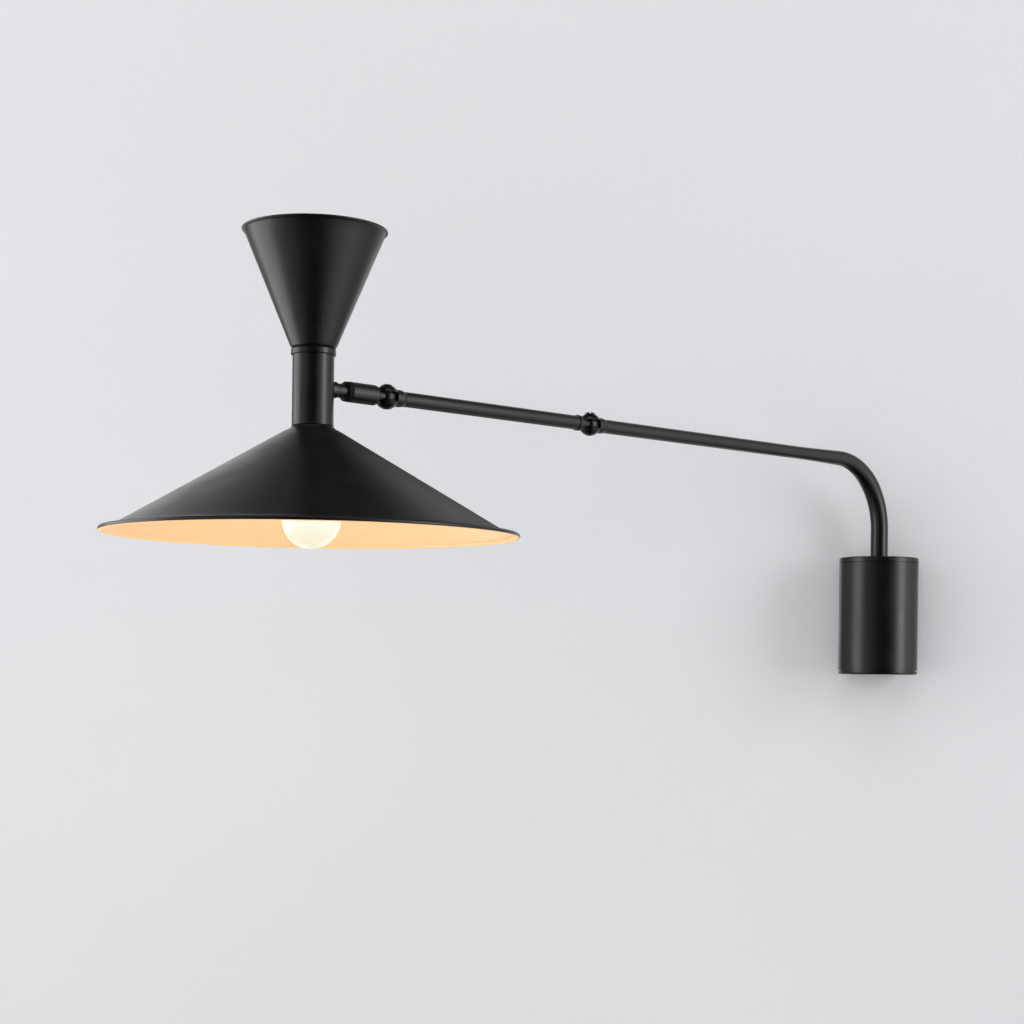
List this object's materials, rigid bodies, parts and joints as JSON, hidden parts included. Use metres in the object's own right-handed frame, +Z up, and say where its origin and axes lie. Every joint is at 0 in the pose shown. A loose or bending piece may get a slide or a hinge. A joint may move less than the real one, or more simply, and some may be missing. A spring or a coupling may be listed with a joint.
{
  "type": "swing arm wall sconce",
  "caption": "Swing arm wall sconce: cylindrical wall base, bent hinged arm, and a rolling head with a wide cone shade below and a small funnel shade above.",
  "frame": {"origin": "middle of the two fixing holes on the back face of the wall plate", "axes": "+Z up, +Y into the wall, +X to the right along the wall as seen from the room"},
  "size_m": [0.7283, 0.6812, 0.3355],
  "materials": {
    "black_steel": "satin black powder coat on steel",
    "black_shade": "satin black powder coat on spun aluminium, cream white inside the lower shade",
    "zinc_steel": "bright zinc plated steel",
    "aluminium": "machined aluminium",
    "black_screw": "black oxide steel",
    "bush_plastic": "dark grey acetal",
    "black_rubber": "black rubber",
    "terminal_plastic": "white polyamide",
    "holder_plastic": "cream thermoset",
    "brass": "nickelled brass",
    "bulb_glass": "pearl glass",
    "bulb_core": "warm white light sticks on a glass stem",
    "lead_red": "brown and blue insulated wire",
    "lead_green": "green and yellow insulated wire",
    "lead_sheath": "white sheathed lead"
  },
  "bodies": {
    "base": {"wall_plate": "zinc_steel", "bearing_block": "aluminium", "block_screws": "zinc_steel", "upper_bush": "bush_plastic", "lower_bush": "bush_plastic", "stop_pins": "zinc_steel", "base_shell": "black_steel", "base_top_cap": "black_steel", "base_bottom_cap": "black_steel", "tie_screws": "zinc_steel", "shell_screws": "zinc_steel", "terminal_block": "terminal_plastic", "terminal_screws": "zinc_steel", "earth_screw": "zinc_steel", "base_leads": "lead_red", "earth_lead": "lead_green"},
    "rear_arm": {"spindle_tube": "black_steel", "stop_washer": "zinc_steel", "spindle_nut": "zinc_steel", "rear_tube": "black_steel", "elbow_fork": "black_steel", "elbow_pivot_screw": "black_screw", "elbow_pivot_nut": "black_screw", "elbow_washers": "bush_plastic", "rear_lead": "lead_sheath"},
    "front_arm": {"elbow_tang": "black_steel", "front_tube": "black_steel", "wrist_fork": "black_steel", "wrist_pivot_screw": "black_screw", "wrist_pivot_nut": "black_screw", "wrist_washers": "bush_plastic", "front_lead": "lead_sheath"},
    "wrist": {"wrist_tang": "black_steel", "roll_sleeve": "black_steel"},
    "head": {"roll_ring": "black_rubber", "head_stub": "black_steel", "roll_nut": "zinc_steel", "stub_nut": "zinc_steel", "neck_tube": "black_steel", "neck_collar": "black_steel", "shade_gasket": "black_rubber", "lower_shade": "black_shade", "upper_shade": "black_shade", "lower_nipple": "zinc_steel", "upper_nipple": "zinc_steel", "nipple_nuts": "zinc_steel", "lower_spacer": "zinc_steel", "lower_lampholder": "holder_plastic", "upper_lampholder": "holder_plastic", "lower_screw_shell": "brass", "upper_screw_shell": "brass", "lower_bulb_cap": "brass", "upper_bulb_cap": "brass", "lower_bulb_glass": "bulb_glass", "upper_bulb_glass": "bulb_glass", "lower_bulb_core": "bulb_core", "upper_bulb_core": "bulb_core", "head_leads": "lead_red"}
  },
  "joints": [
    {"name": "base_swivel", "type": "hinge", "parent": "base", "child": "rear_arm", "pos_m": [0, -0.03, 0.05], "axis": [0, 0, 1], "range_deg": [-30, 125]},
    {"name": "elbow_swivel", "type": "hinge", "parent": "rear_arm", "child": "front_arm", "pos_m": [-0.30767, -0.3159, 0.1558], "axis": [0, 0, 1], "range_deg": [-90, 90]},
    {"name": "wrist_swivel", "type": "hinge", "parent": "front_arm", "child": "wrist", "pos_m": [-0.47483, -0.47124, 0.1558], "axis": [0, 0, 1], "range_deg": [-75, 75]},
    {"name": "head_roll", "type": "hinge", "parent": "wrist", "child": "head", "pos_m": [-0.50069, -0.49527, 0.1558], "axis": [0.7325, 0.6807, 0], "range_deg": [-40, 40]}
  ]
}
